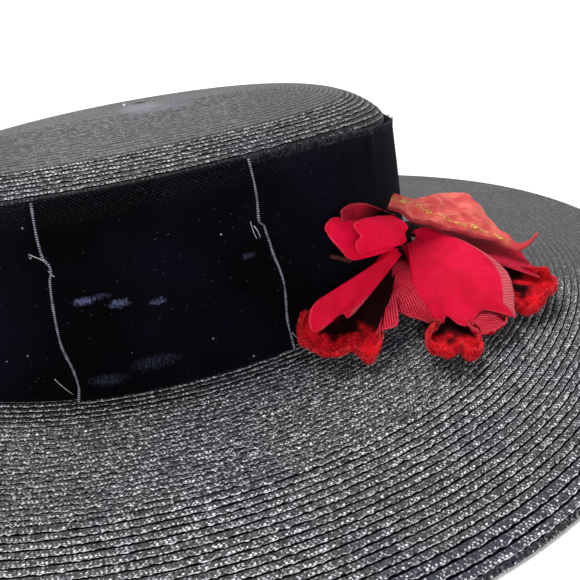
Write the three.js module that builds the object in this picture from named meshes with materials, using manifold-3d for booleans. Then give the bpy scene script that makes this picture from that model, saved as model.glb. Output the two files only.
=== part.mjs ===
// A wide-brimmed straw boater hat, standing on the edge of its brim.
// It has a straw crown and brim, a deep velvet band, a flat velvet tab over the band,
// and a spray of cloth petals with one leaf, fastened where the band meets the brim.
// Millimetres, +Z up. The origin is on the floor, under the middle of the hat.
// The long axis of the oval head opening lies along X, and the tab faces -Y.

import * as THREE from 'three';
import { mergeVertices } from 'three/addons/utils/BufferGeometryUtils.js';
import Module from 'manifold-3d';

const wasm = await Module();
wasm.setup();

// The oval that the band's foot makes on the brim, as a mean radius and half the
// difference between its two half-lengths. Its centre is a little to +X of the brim's.
const FOOT_RADIUS = 91.1;
const OVAL = 11.2;
const FOOT_X = 3.6;

// Gap between pieces that touch on the real hat.
const GAP = 0.3;

// Brim: width beyond the band's foot, and the drop of its top face from foot to edge.
const BRIM_WIDTH = 104.5;
const BRIM_DROP = 15.3;
const BRIM_THICK = 2;
const EDGE_FLAT = 5.5;
const EDGE_BLEND = 5;
const EDGE_ROUND = 0.6;
const BRIM_TOP = BRIM_DROP + BRIM_THICK;

// Crown: straight side under the band, then a low dome above it.
const STRAW_THICK = 1.8;
const SIDE_HEIGHT = 62.4;
const SIDE_LEAN = 8.2;
const DOME_RISE = 13.6;
const DOME_FULLNESS = 3.06;
const SHOULDER_ROUND = 1.6;
const SHOULDER_IN = 1;
const CROWN_HEIGHT = SIDE_HEIGHT + DOME_RISE;

// At the two ends of the oval the crown's side leans less by this much at its top.
const END_FULLNESS = 4;

// The crown leans: its top is moved to +X, and is lower on the side away from the tab
// by this much per mm of Y. Its shoulder dips at the two ends of the oval, and the
// band's top edge dips further. The dip fades towards the middle of the crown.
const TOP_SHIFT = 1.5;
const CROWN_SLOPE = 0.064;
const CROWN_DIP = 3.5;
const BAND_DIP = 8.4;
const DIP_SPREAD = 8;

// Velvet band: a loose sleeve that stands off the crown at the two ends of the oval.
const VELVET_THICK = 1.6;
const BAND_STAND_OFF = 6.5;

// Flat velvet tab over the band, between these two directions in degrees.
const TAB_THICK = 1.2;
const TAB_FROM = -110;
const TAB_TO = -68;

// The cut end of the spray's wired stem, which shows below the bud's outer petal.
const STEM_THICK = 2;
const STEM_FROM = new THREE.Vector3(61, -71, 42);
const STEM_TO = new THREE.Vector3(74, -62, 38);

// How finely the forms are faceted. The dome's rings are crowded towards its shoulder.
const ROUND_STEPS = 60;
const DOME_STEPS = 6;
const DOME_CROWDING = 0.7;
const TAB_STEPS_ROUND = 14;
const TAB_STEPS_UP = 3;
const PETAL_STEPS = 9;
const STEM_SIDES = 8;

const makeMaterial = (color, roughness) => (
  new THREE.MeshStandardMaterial({ color, roughness, metalness: 0 })
);
const strawMaterial = makeMaterial(0x17181b, 0.45);
const velvetMaterial = makeMaterial(0x07070d, 0.95);
const satinMaterial = makeMaterial(0xc4133a, 0.55);
const pileMaterial = makeMaterial(0xd81a1c, 0.9);
const leafMaterial = makeMaterial(0xc8434a, 0.7);
const stemMaterial = makeMaterial(0x5a3a20, 0.8);

// The petals and the leaf, from the top of the spray down. Each is a fan from a narrow
// heel to a rounded, waved rim. heel and tip are the ends of its middle line; wide is its
// half-width near the rim, and waist at the heel; roll turns it about that line, in
// degrees; arch lifts its middle and cup lifts its two sides; round draws the rim's
// corners back; lobes and lobe shape the rim's waves, and ruffle lifts them; swell is how
// early the fan widens; taper draws its tip to a point.
const PETAL_THICK = 1;
const PETAL_COLUMNS = ['name', 'material', 'heel', 'tip',
  'wide', 'waist', 'roll', 'arch', 'cup', 'round', 'lobes', 'lobe', 'ruffle', 'swell', 'taper'];
const PETAL_ROWS = [
  ['satin_petal', satinMaterial, [98, -41, 32], [103, -83, 19],
    18.4, 2, 2, 6.3, 0.6, 0.12, 5, 0.04, 0.6, 0.55, 0],
  ['leaf', leafMaterial, [94, -32, 49], [136, -49, 24],
    28.4, 2, 16, 4, -0.5, 0.05, 2, 0.03, 0.5, 1, 1],
  ['bud_front_petal', satinMaterial, [93, -46, 37], [67, -68, 49],
    6.8, 2, -82, -0.1, -3.1, 0.25, 2, 0.04, 0.6, 0.4, 0],
  ['bud_back_petal', satinMaterial, [93, -46, 41], [69, -64, 57],
    4.2, 2, -84, -0.4, -2.5, 0.25, 2, 0.04, 0.6, 0.4, 0],
  ['bud_outer_petal', satinMaterial, [89, -50, 35], [60, -69, 53],
    6.5, 2, -76, 0.1, -0.5, 0.25, 2, 0.04, 0.6, 0.4, 0],
  ['long_petal', satinMaterial, [90, -51, 33], [47, -91, 32],
    4.2, 1.5, -55, 1.1, -11.3, 0.3, 2, 0.05, 0.8, 0.8, 0],
  ['lower_left_petal', pileMaterial, [87, -53, 30], [49, -91, 21],
    14.2, 1.5, -14, 3.8, -1.1, 0.1, 5, 0.06, 1.4, 0.8, 0],
  ['triangle_petal', satinMaterial, [90, -47, 28], [68, -84, 22],
    7.1, 1.5, 20, 2, -3, 0.1, 3, 0.03, 0.6, 0.8, 0],
  ['woven_petal', satinMaterial, [95, -37, 27], [82, -82, 19],
    7.9, 1.5, -17, 0.8, -2.2, 0.1, 3, 0.03, 0.6, 0.6, 0],
  ['fold_petal', satinMaterial, [103, -47, 24], [106, -93, 15],
    8, 1.5, -4, 3, -0.3, 0.1, 3, 0.04, 0.6, 0.6, 0],
  ['curl_petal', pileMaterial, [98, -52, 18], [89, -101, 16],
    9.7, 1.5, -15, -1, 2.1, 0.1, 4, 0.04, 2, 0.8, 0],
  ['back_petal', satinMaterial, [103, -45, 32], [137, -66, 15],
    10.1, 1.5, -5, 2.8, 1.9, 0.2, 3, 0.04, 0.6, 0.6, 0],
  ['right_petal', pileMaterial, [104, -39, 25], [137, -71, 15],
    13.3, 1.5, 4, 2, -2.7, 0.1, 4, 0.06, 2.2, 0.8, 0],
];
const petals = PETAL_ROWS.map((row) => (
  Object.fromEntries(PETAL_COLUMNS.map((column, i) => [column, row[i]]))
));

// Place a point of a round profile on the hat's oval. Rings outside the foot keep their
// distance from it, and rings inside it shrink towards the centre in proportion.
function ovalPoint(radius, height, angle, endDip = CROWN_DIP) {
  const stretch = OVAL * Math.min(1, radius / FOOT_RADIUS);
  const outwards = Math.max(0, (radius - FOOT_RADIUS) / BRIM_WIDTH);
  const upwards = Math.max(0, height) / CROWN_HEIGHT;
  const centre = FOOT_X * (1 - outwards) + TOP_SHIFT * upwards;
  const x = (radius + stretch) * Math.cos(angle);
  const y = (radius - stretch) * Math.sin(angle);
  const rimShare = Math.min(1, radius / (FOOT_RADIUS - VELVET_THICK - SIDE_LEAN));
  const dip = endDip * Math.cos(angle) ** 4 * rimShare ** DIP_SPREAD;
  const lower = (CROWN_SLOPE * y + dip) * upwards;
  return new THREE.Vector3(centre + x, y, BRIM_TOP + height - lower);
}

// Spin a profile of [radius, height] points round the hat's oval. Heights are above the
// brim's top face at the band's foot. The bulge moves points outwards.
function spinOval(profile, bulge = () => 0, endDip = CROWN_DIP) {
  const points = profile.map(([radius, height]) => new THREE.Vector2(radius, height));
  const geometry = new THREE.LatheGeometry(points, ROUND_STEPS);
  const places = geometry.attributes.position;
  for (let i = 0; i < places.count; i += 1) {
    const radius = Math.hypot(places.getX(i), places.getZ(i));
    const height = places.getY(i);
    const angle = Math.atan2(-places.getZ(i), places.getX(i));
    const place = ovalPoint(radius + bulge(angle, height, radius), height, angle, endDip);
    places.setXYZ(i, place.x, place.y, place.z);
  }
  return geometry;
}

// One face of the crown, as [radius, height] from the brim up to the tip.
// The inset moves it inwards.
function crownProfile(inset) {
  const footRadius = FOOT_RADIUS - VELVET_THICK - GAP - inset;
  const topRadius = footRadius - SIDE_LEAN;
  const profile = [[footRadius, GAP], [topRadius, SIDE_HEIGHT - inset - SHOULDER_ROUND]];
  for (let i = 0; i <= DOME_STEPS; i += 1) {
    const share = 1 - i / DOME_STEPS;
    const reach = share ** DOME_CROWDING * (topRadius - (i === 0 ? SHOULDER_IN : 0));
    const rise = DOME_RISE * (1 - (reach / topRadius) ** DOME_FULLNESS);
    profile.push([reach, SIDE_HEIGHT - inset + rise]);
  }
  return profile;
}

// How much further out the crown reaches towards the oval's two ends.
function crownBulge(angle, height, radius) {
  const upwards = Math.min(1, height / SIDE_HEIGHT);
  return END_FULLNESS * upwards * Math.cos(angle) ** 2 * radius / FOOT_RADIUS;
}

function makeCrown() {
  const outside = crownProfile(0);
  const inside = crownProfile(STRAW_THICK).reverse();
  return spinOval([...outside, ...inside, outside[0]], crownBulge);
}

// The brim's top face runs straight down from the foot to the edge. Its underside is
// parallel, apart from the thicker rows at the edge, which lie flat on the floor.
// The lift raises the top face.
function brimProfile(lift) {
  const innerRadius = FOOT_RADIUS - VELVET_THICK - GAP - STRAW_THICK;
  const edgeRadius = FOOT_RADIUS + BRIM_WIDTH;
  const topAt = (radius) => -BRIM_DROP * (radius - FOOT_RADIUS) / BRIM_WIDTH;
  const floor = -BRIM_TOP;
  const blendRadius = edgeRadius - EDGE_FLAT - EDGE_BLEND;
  return [
    [innerRadius, lift],
    [innerRadius, -BRIM_THICK],
    [FOOT_RADIUS, -BRIM_THICK],
    [blendRadius, topAt(blendRadius) - BRIM_THICK],
    [edgeRadius - EDGE_FLAT, floor],
    [edgeRadius - EDGE_ROUND, floor],
    [edgeRadius, floor + EDGE_ROUND],
    [edgeRadius, -BRIM_DROP - EDGE_ROUND + lift],
    [edgeRadius - EDGE_ROUND, -BRIM_DROP + lift],
    [FOOT_RADIUS, lift],
    [innerRadius, lift],
  ];
}

// How far the band stands off the crown: nothing at its foot, most at the oval's ends.
function bandBulge(angle, height) {
  return BAND_STAND_OFF * (height / SIDE_HEIGHT) * Math.cos(angle) ** 2;
}

function makeBand() {
  const inner = FOOT_RADIUS - VELVET_THICK;
  return spinOval([
    [FOOT_RADIUS, GAP],
    [FOOT_RADIUS - SIDE_LEAN / 2, SIDE_HEIGHT / 2],
    [FOOT_RADIUS - SIDE_LEAN, SIDE_HEIGHT],
    [inner - SIDE_LEAN, SIDE_HEIGHT],
    [inner - SIDE_LEAN / 2, SIDE_HEIGHT / 2],
    [inner, GAP],
    [FOOT_RADIUS, GAP],
  ], bandBulge, BAND_DIP);
}

// A closed thin sheet: pointAt(u, v) gives its middle surface for u and v from 0 to 1,
// and the sheet stands half its thickness to each side of it.
function thinSheet(pointAt, stepsU, stepsV, thick) {
  const sample = 0.01;
  const normalAt = (u, v) => {
    const alongU = pointAt(Math.min(u + sample, 1), v).sub(pointAt(Math.max(u - sample, 0), v));
    const alongV = pointAt(u, Math.min(v + sample, 1)).sub(pointAt(u, Math.max(v - sample, 0)));
    return alongU.cross(alongV).normalize();
  };
  const row = stepsV + 1;
  const layer = (stepsU + 1) * row;
  const coordinates = [];
  for (const side of [0.5, -0.5]) {
    for (let i = 0; i <= stepsU; i += 1) {
      for (let j = 0; j <= stepsV; j += 1) {
        const u = i / stepsU;
        const v = j / stepsV;
        const point = pointAt(u, v).addScaledVector(normalAt(u, v), side * thick);
        coordinates.push(point.x, point.y, point.z);
      }
    }
  }
  const faces = [];
  const quad = (a, b, c, d) => faces.push(a, b, c, a, c, d);
  for (let i = 0; i < stepsU; i += 1) {
    for (let j = 0; j < stepsV; j += 1) {
      const a = i * row + j;
      quad(a, a + row, a + row + 1, a + 1);
      quad(layer + a, layer + a + 1, layer + a + row + 1, layer + a + row);
    }
  }
  for (let i = 0; i < stepsU; i += 1) {
    const near = i * row;
    const far = near + stepsV;
    quad(near, layer + near, layer + near + row, near + row);
    quad(far, far + row, layer + far + row, layer + far);
  }
  for (let j = 0; j < stepsV; j += 1) {
    const end = stepsU * row + j;
    quad(j, j + 1, layer + j + 1, layer + j);
    quad(end, layer + end, layer + end + 1, end + 1);
  }
  const geometry = new THREE.BufferGeometry();
  geometry.setAttribute('position', new THREE.Float32BufferAttribute(coordinates, 3));
  geometry.setIndex(faces);
  return geometry;
}

function makeTab() {
  const offset = GAP + TAB_THICK / 2;
  const pointAt = (u, v) => {
    const angle = THREE.MathUtils.degToRad(TAB_FROM + (TAB_TO - TAB_FROM) * u);
    const height = GAP + (SIDE_HEIGHT - GAP) * v;
    const radius = FOOT_RADIUS + offset - SIDE_LEAN * height / SIDE_HEIGHT;
    return ovalPoint(radius + bandBulge(angle, height), height, angle, BAND_DIP);
  };
  return thinSheet(pointAt, TAB_STEPS_ROUND, TAB_STEPS_UP, TAB_THICK);
}

// A petal's middle surface. u runs from heel to rim and v from one side to the other.
// The margin moves its heel, rim and sides outwards.
function petalSurface(petal, margin) {
  const heel = new THREE.Vector3(...petal.heel);
  const chord = new THREE.Vector3(...petal.tip).sub(heel);
  const reach = chord.length();
  chord.normalize();
  const side = new THREE.Vector3().crossVectors(chord, new THREE.Vector3(0, 0, 1)).normalize();
  side.applyAxisAngle(chord, THREE.MathUtils.degToRad(petal.roll));
  const up = new THREE.Vector3().crossVectors(side, chord);
  return (u, v) => {
    const across = 2 * v - 1;
    const wave = petal.lobe * Math.cos(Math.PI * petal.lobes * across) * u;
    const along = reach * u * (1 - petal.round * across ** 2 + wave) + margin * (2 * u - 1);
    const width = petal.waist * (1 - petal.taper * u)
      + (petal.wide - petal.waist) * u ** petal.swell * (1 - petal.taper * u ** 3)
      + margin;
    const lift = petal.arch * 4 * u * (1 - u)
      + petal.cup * across ** 2 * u
      + petal.ruffle * Math.sin(Math.PI * petal.lobes * across) * u ** 2;
    return heel.clone()
      .addScaledVector(chord, along)
      .addScaledVector(side, width * across)
      .addScaledVector(up, lift);
  };
}

function toSolid(geometry) {
  const weld = 1e-4;
  const bare = geometry.clone();
  bare.deleteAttribute('normal');
  bare.deleteAttribute('uv');
  const merged = mergeVertices(bare, weld);
  return new wasm.Manifold(new wasm.Mesh({
    numProp: 3,
    vertProperties: new Float32Array(merged.attributes.position.array),
    triVerts: new Uint32Array(merged.index.array),
  }));
}

function fromSolid(solid) {
  const mesh = solid.getMesh();
  const geometry = new THREE.BufferGeometry();
  geometry.setAttribute('position', new THREE.BufferAttribute(mesh.vertProperties, 3));
  geometry.setIndex(new THREE.BufferAttribute(mesh.triVerts, 1));
  geometry.computeVertexNormals();
  return geometry;
}

function largestPiece(solid) {
  const pieces = solid.decompose();
  pieces.sort((a, b) => b.volume() - a.volume());
  return pieces[0];
}

// The room that the crown and the band take up, with a gap round them.
function makeBandKeepOut() {
  const outer = FOOT_RADIUS + GAP;
  const bulge = (angle, height, radius) => (
    bandBulge(angle, height) * Math.min(1, radius / (outer - SIDE_LEAN))
  );
  return spinOval([
    [0, -BRIM_THICK],
    [outer, -BRIM_THICK],
    [outer, GAP],
    [outer - SIDE_LEAN / 2, SIDE_HEIGHT / 2],
    [outer - SIDE_LEAN, SIDE_HEIGHT],
    [0, SIDE_HEIGHT],
  ], bulge, BAND_DIP);
}

function petalSolid(petal, margin) {
  const thick = PETAL_THICK + 2 * margin;
  return toSolid(thinSheet(petalSurface(petal, margin), PETAL_STEPS, PETAL_STEPS, thick));
}

function stemSolid() {
  const route = STEM_TO.clone().sub(STEM_FROM);
  const radius = STEM_THICK / 2;
  const stem = new THREE.CylinderGeometry(radius, radius, route.length(), STEM_SIDES);
  const upright = new THREE.Vector3(0, 1, 0);
  stem.applyQuaternion(new THREE.Quaternion().setFromUnitVectors(upright, route.clone().normalize()));
  stem.translate(...STEM_FROM.clone().add(STEM_TO).multiplyScalar(0.5).toArray());
  return toSolid(stem);
}

const hat = new THREE.Group();

function addPiece(name, geometry, material) {
  const mesh = new THREE.Mesh(geometry, material);
  mesh.name = name;
  hat.add(mesh);
}

addPiece('crown', makeCrown(), strawMaterial);
addPiece('brim', spinOval(brimProfile(0)), strawMaterial);
addPiece('band', makeBand(), velvetMaterial);
addPiece('tab', makeTab(), velvetMaterial);

// Each petal lies clear of the brim, the band and the petals above it, so it is cut by
// a slightly larger copy of each of them, and its largest part is kept.
let keepOut = toSolid(spinOval(brimProfile(GAP))).add(toSolid(makeBandKeepOut()));
for (const petal of petals) {
  const piece = largestPiece(petalSolid(petal, 0).subtract(keepOut));
  addPiece(petal.name, fromSolid(piece), petal.material);
  keepOut = keepOut.add(petalSolid(petal, GAP));
}

addPiece('stem', fromSolid(largestPiece(stemSolid().subtract(keepOut))), stemMaterial);

export default hat;
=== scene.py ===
# Looks for the straw boater hat: sewn braid rows, velvet band and tab, and the cloth spray.
# Metres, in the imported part's frame: +Z up, the tab faces -Y, the spray is at +X -Y.

import math

import bmesh
import bpy
import numpy as np
from mathutils import Matrix, Vector


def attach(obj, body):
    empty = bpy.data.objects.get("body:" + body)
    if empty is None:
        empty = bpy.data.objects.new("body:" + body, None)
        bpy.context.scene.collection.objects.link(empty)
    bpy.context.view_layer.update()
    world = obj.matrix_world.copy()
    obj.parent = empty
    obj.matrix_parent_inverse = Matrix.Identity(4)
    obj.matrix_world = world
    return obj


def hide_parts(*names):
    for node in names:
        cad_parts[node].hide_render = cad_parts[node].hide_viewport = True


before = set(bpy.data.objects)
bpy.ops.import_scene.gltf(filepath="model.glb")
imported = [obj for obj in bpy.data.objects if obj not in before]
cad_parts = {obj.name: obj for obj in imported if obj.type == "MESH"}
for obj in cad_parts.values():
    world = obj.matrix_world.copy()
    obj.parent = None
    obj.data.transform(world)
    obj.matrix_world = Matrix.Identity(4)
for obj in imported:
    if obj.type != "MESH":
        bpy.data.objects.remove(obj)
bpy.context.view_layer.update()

# The hat's own sizes, as the part has them.
FOOT_RADIUS = 0.0911
OVAL = 0.0112
FOOT_X = 0.0036
GAP = 0.0003
BRIM_WIDTH = 0.1045
BRIM_DROP = 0.0153
BRIM_THICK = 0.002
EDGE_FLAT = 0.0055
EDGE_BLEND = 0.005
BRIM_TOP = BRIM_DROP + BRIM_THICK
STRAW_THICK = 0.0018
SIDE_HEIGHT = 0.0624
SIDE_LEAN = 0.0082
DOME_RISE = 0.0136
DOME_FULLNESS = 3.06
SHOULDER_ROUND = 0.0016
SHOULDER_IN = 0.001
CROWN_HEIGHT = SIDE_HEIGHT + DOME_RISE
END_FULLNESS = 0.0066
TOP_SHIFT = 0.0015
CROWN_SLOPE = 0.064
CROWN_DIP = 0.0062
BAND_DIP = 0.0108
BAND_FAR_DIP = 0.0032
CROWN_DISH = 0.003
DIP_SPREAD = 8
VELVET_THICK = 0.0016
BAND_STAND_OFF = 0.0065
TAB_THICK = 0.0012
TAB_RADIUS = FOOT_RADIUS - SIDE_LEAN / 2
CROWN_FOOT_RADIUS = FOOT_RADIUS - VELVET_THICK - GAP
CROWN_TOP_RADIUS = CROWN_FOOT_RADIUS - SIDE_LEAN
BRIM_INNER = CROWN_FOOT_RADIUS - STRAW_THICK - FOOT_RADIUS

# The camera, at the photograph's viewing angle.
CAMERA_PLACE = Vector((0.0029, -0.3162, 0.1514))
CAMERA_TURN = math.radians(9.57)
CAMERA_TILT = math.radians(24.75)
CAMERA_ROLL = math.radians(8.82)
CAMERA_LENS = 51.2
CAMERA_SENSOR = 36

# Sewn braid rows on the brim's top. Each stretch: its start as a distance from the band's
# foot, how far apart its rows are, and how deep the groove between two rows is.
BRIM_STRETCHES = (
    (BRIM_INNER, 0.0018, 0.0002),
    (0.0, 0.0025, 0.00035),
    (0.0113, 0.00193, 0.00024),
    (0.0500, 0.00268, 0.00045),
    (0.0934, 0.0036, 0.0006),
)
EDGE_SOFT = 0.001
EDGE_RADIUS = 0.00105
EDGE_RIBS = 620
CROWN_ROW = 0.00185
CROWN_GROOVE = 0.00035
SIDE_ROW = 0.002
UNDER_ROW = 0.0029
UNDER_GROOVE = 0.0003
RIB_PITCH = 0.00125

# A row's cross-section: share of the way across it, and height as a share of the groove.
ROW_SHAPE = ((0.0, 0.0), (0.16, 0.62), (0.5, 0.9), (0.84, 1.0))
PLAIN_ROW_SHAPE = ((0.0, 0.0), (0.5, 1.0))
BRIM_UNEVEN = 0.00009
CROWN_UNEVEN = 0.00007
BRIM_STEPS = 320
CROWN_STEPS = 240
BAND_STEPS = 360
BAND_RINGS = 40

# A ring of points on the top face of the crown and of the brim, which shows which way is out.
OUTER_RING = 8

# The tab's two long edges: height above the brim, and direction in degrees.
TAB_LEFT_EDGE = (
    (0.0004, -109.0), (0.0049, -108.5), (0.0089, -108.7), (0.0122, -109.1), (0.0149, -109.6),
    (0.0200, -110.2), (0.0290, -110.2), (0.0380, -109.8), (0.0414, -109.2), (0.0436, -109.3),
    (0.0452, -109.9), (0.0474, -110.3), (0.0540, -110.5), (0.0622, -110.3),
)
TAB_RIGHT_EDGE = (
    (0.0004, -68.4), (0.0084, -68.7), (0.0125, -68.6), (0.0169, -68.2), (0.0221, -67.9),
    (0.0271, -68.2), (0.0319, -68.8), (0.0363, -69.1), (0.0396, -69.4), (0.0418, -69.6),
    (0.0430, -70.3), (0.0450, -70.3), (0.0498, -69.9), (0.0546, -69.8), (0.0622, -70.0),
)

# A first and a last row number that pick no row.
NO_ROWS = (-1, -1)

# Lines of painted glints, bright dots on a row: share of the way across it, half-width, length
# and slant of a dot, and which chances it lights from and how brightly.
PAINTED_GLINT_LINES = (
    (0.66, 0.13, 0.42, 0.35, 0.05, 1.1),
    (0.43, 0.11, 0.38, -0.4, 0.3, 0.75),
    (0.2, 0.1, 0.42, 0.3, 0.3, 0.5),
)

# Lint on the velvet: how close together, the least chance that shows, and how pale.
LINT = ((0.6, 0.55, 0.09), (0.17, 0.75, 0.25))

# Worn spots on the crown's top, by the start of the braid, and last the painted shade in the small
# hole there: place, half-sizes, colour, strength.
CROWN_MARKS = (
    (0.0105, 0.0060, 0.0090, 0.0150, (0.26, 0.26, 0.32), 0.4),
    (0.0180, -0.0060, 0.0140, 0.0090, (0.16, 0.17, 0.22), 0.4),
    (0.0050, 0.0190, 0.0007, 0.0034, (0.7, 0.7, 0.68), 0.7),
    (0.0112, 0.0200, 0.0030, 0.0036, (0.002, 0.002, 0.003), 0.97),
)

# Crushed pile on the tab: direction in degrees, millimetres up, half-length, half-height and
# strength.
TAB_MARKS = (
    (-104.6, 31.4, 4.2, 1.7, 0.8), (-98.4, 29.0, 4.0, 1.8, 0.75), (-91.6, 27.4, 3.2, 1.5, 0.5),
    (-101.5, 32.0, 4.5, 1.2, 0.25), (-73.8, 34.0, 3.0, 1.4, 0.2), (-94.0, 9.0, 9.0, 3.0, 0.13),
    (-103.0, 6.0, 7.0, 2.5, 0.16),
)
CORD_RADIUS = 0.00042
CORD_RIB = 0.00072

# Stretches of a petal's rim with loose ribs, in millimetres: from and to round the rim, and how
# far in they reach. Then how far apart the ribs are.
SATIN_BORDER = (83.0, 143.0, 4.6)
LONG_BORDER = (82.0, 113.0, 2.2)
BORDER_RIB = 0.85

random = np.random.default_rng(1907)


# Node trees

class Look:
    """A material, with its node tree built a node at a time."""

    def __init__(self, name):
        self.material = bpy.data.materials.new(name)
        self.material.use_nodes = True
        self.tree = self.material.node_tree
        self.shader = self.tree.nodes["Principled BSDF"]

    def put(self, node, inputs):
        for name, value in inputs.items():
            socket = node.inputs[name]
            if isinstance(value, bpy.types.NodeSocket):
                self.tree.links.new(value, socket)
            elif socket.type == "RGBA":
                socket.default_value = (*value, 1.0)
            else:
                socket.default_value = value

    def add(self, kind, inputs, **settings):
        node = self.tree.nodes.new("ShaderNode" + kind)
        for name, value in settings.items():
            setattr(node, name, value)
        self.put(node, inputs)
        return node

    def math(self, operation, *values):
        return self.add("Math", dict(enumerate(values)), operation=operation).outputs[0]

    def times(self, first, second):
        return self.math("MULTIPLY", first, second)

    def plus(self, first, second):
        return self.math("ADD", first, second)

    def minus(self, first, second):
        return self.math("SUBTRACT", first, second)

    def larger(self, first, second):
        return self.math("MAXIMUM", first, second)

    def scaled(self, value, factor, offset):
        return self.math("MULTIPLY_ADD", value, factor, offset)

    def ripple(self, value, pitch):
        return self.math("SINE", self.times(value, 2 * math.pi / pitch))

    def spot(self, x, y, centre_x, centre_y, half_x, half_y):
        """Square of the distance from the spot's centre, counted in its half-sizes."""
        side = self.math("DIVIDE", self.minus(x, centre_x), half_x)
        rise = self.math("DIVIDE", self.minus(y, centre_y), half_y)
        return self.plus(self.times(side, side), self.times(rise, rise))

    def fade(self, value, low, high, start=0.0, stop=1.0):
        inputs = {"Value": value, "From Min": low, "From Max": high, "To Min": start, "To Max": stop}
        return self.add("MapRange", inputs, interpolation_type="SMOOTHSTEP").outputs["Result"]

    def mix(self, share, first, second):
        return self.add("Mix", {0: share, 6: first, 7: second}, data_type="RGBA").outputs[2]

    def noise(self, place, scale, detail=2.0, roughness=0.5):
        inputs = {"Vector": place, "Scale": scale, "Detail": detail, "Roughness": roughness}
        return self.add("TexNoise", inputs).outputs["Fac"]

    def white_noise(self, *values):
        vector = self.add("CombineXYZ", dict(zip("XYZ", values))).outputs["Vector"]
        return self.add("TexWhiteNoise", {"Vector": vector}, noise_dimensions="3D").outputs["Value"]

    def place(self):
        return self.add("TexCoord", {}).outputs["Object"]

    def split(self, vector):
        parts = self.add("SeparateXYZ", {"Vector": vector}).outputs
        return parts["X"], parts["Y"]

    def map_place(self, layer):
        """The coordinates of one of the piece's maps, as a vector and its two parts."""
        vector = self.add("UVMap", {}, uv_map=layer).outputs["UV"]
        return vector, *self.split(vector)

    def bump(self, height, distance, strength=1.0):
        inputs = {"Height": height, "Distance": distance, "Strength": strength}
        return self.add("Bump", inputs).outputs["Normal"]

    def finish(self, **inputs):
        self.put(self.shader, {name.replace("_", " "): value for name, value in inputs.items()})
        return self.material


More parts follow.
